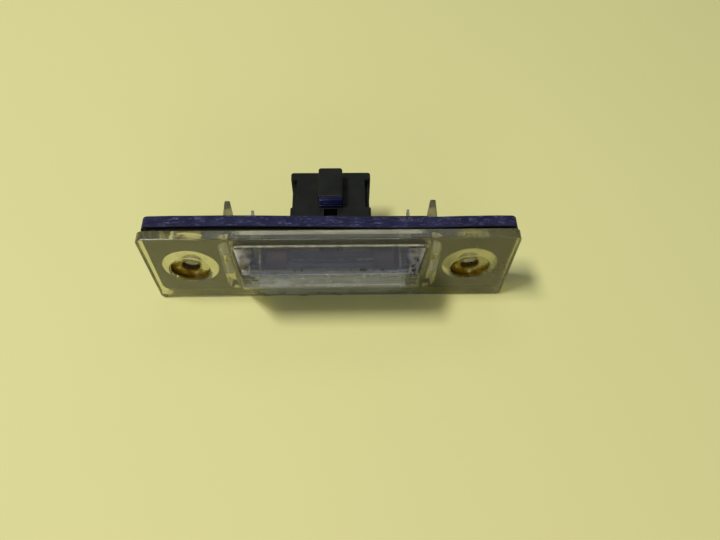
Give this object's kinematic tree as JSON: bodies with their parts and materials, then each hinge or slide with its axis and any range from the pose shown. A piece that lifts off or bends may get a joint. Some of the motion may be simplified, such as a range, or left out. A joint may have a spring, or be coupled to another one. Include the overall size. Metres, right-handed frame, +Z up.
{
  "type": "number plate lamp",
  "caption": "Clear-lens number plate lamp with a screw flange, rubber gasket, festoon bulb and a black carrier with a plug socket.",
  "frame": {"origin": "middle of the seating plane, where the gasket and the screw bosses meet the panel, midway between the screw holes", "axes": "+X along the flange, to the right for a viewer who faces the lens; +Y into the panel, along the screws; +Z up"},
  "size_m": [0.0958, 0.0361, 0.0284],
  "materials": {
    "lens_plastic": "clear, aged",
    "gasket_rubber": "matt, dusty",
    "carrier_plastic": "satin moulded",
    "contact_metal": "tinned",
    "bulb_glass": "clear",
    "cap_metal": "tarnished",
    "wire_metal": "drawn"
  },
  "bodies": {
    "root": {"lens": "lens_plastic", "gasket": "gasket_rubber", "carrier": "carrier_plastic", "contact_left": "contact_metal", "contact_right": "contact_metal", "bulb_glass": "bulb_glass", "bulb_cap_left": "cap_metal", "bulb_cap_right": "cap_metal", "filament": "wire_metal", "lead_left": "wire_metal", "lead_right": "wire_metal"}
  },
  "joints": []
}
